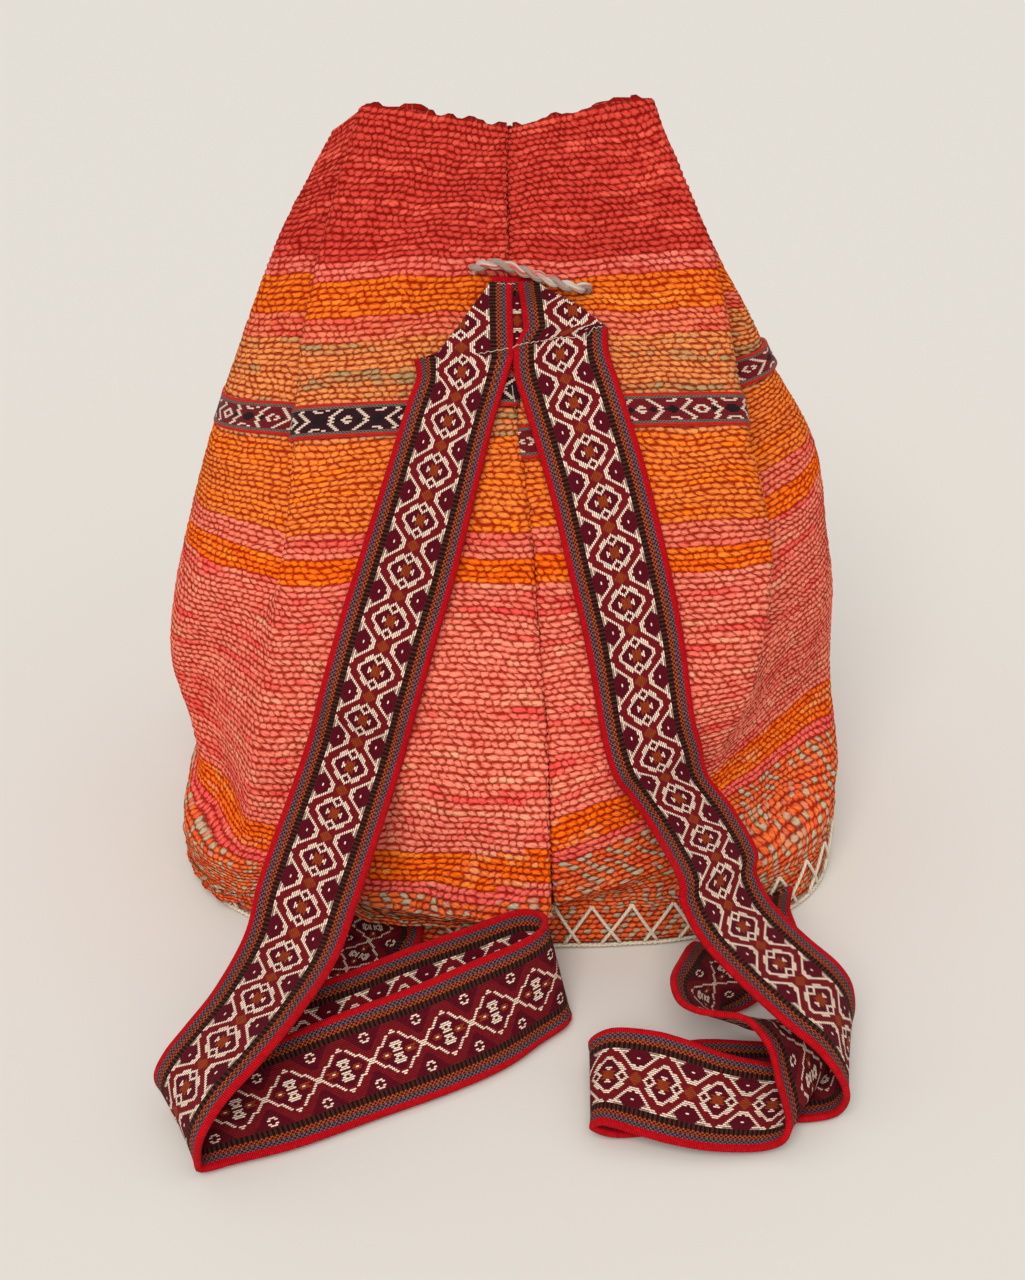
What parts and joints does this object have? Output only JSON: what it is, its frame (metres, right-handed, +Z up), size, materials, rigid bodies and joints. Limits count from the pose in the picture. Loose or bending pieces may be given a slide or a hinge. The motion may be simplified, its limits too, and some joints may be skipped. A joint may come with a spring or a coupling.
{
  "type": "bucket backpack",
  "caption": "Striped handwoven wool bucket backpack on an oval base, with a pleated mouth, a patterned trim band and long patterned straps that lie in loops on the floor in front.",
  "frame": {"origin": "middle of the base's flat underside, on the floor", "axes": "+Z up through the bag to its mouth, -Y towards the face that carries the straps, +X to the right as that face is looked at"},
  "size_m": [0.3609, 0.4258, 0.3852],
  "materials": {
    "striped_wool": "matte thick handwoven wool in stripes of red, pink, orange and tan",
    "wool_base": "matte thick handwoven wool, orange, red and beige mixed",
    "lacing_yarn": "matte cream yarn",
    "edge_yarn": "matte cream yarn",
    "woven_band": "matte patterned warp-faced wool band, dark red with white",
    "left_strap_tape": "matte patterned warp-faced wool tape, burgundy with white",
    "right_strap_tape": "matte patterned warp-faced wool tape, burgundy with white",
    "cross_tape": "matte patterned warp-faced wool tape, burgundy with white",
    "grey_cord": "matte twisted wool cord, grey and white with red"
  },
  "bodies": {
    "root": {"bag_body": "striped_wool", "base_panel": "wool_base", "base_lacing": "lacing_yarn", "base_edge_yarn": "edge_yarn", "trim_band": "woven_band", "shoulder_strap_left": "left_strap_tape", "shoulder_strap_right": "right_strap_tape", "strap_cross_piece": "cross_tape", "drawcord": "grey_cord"}
  },
  "joints": []
}
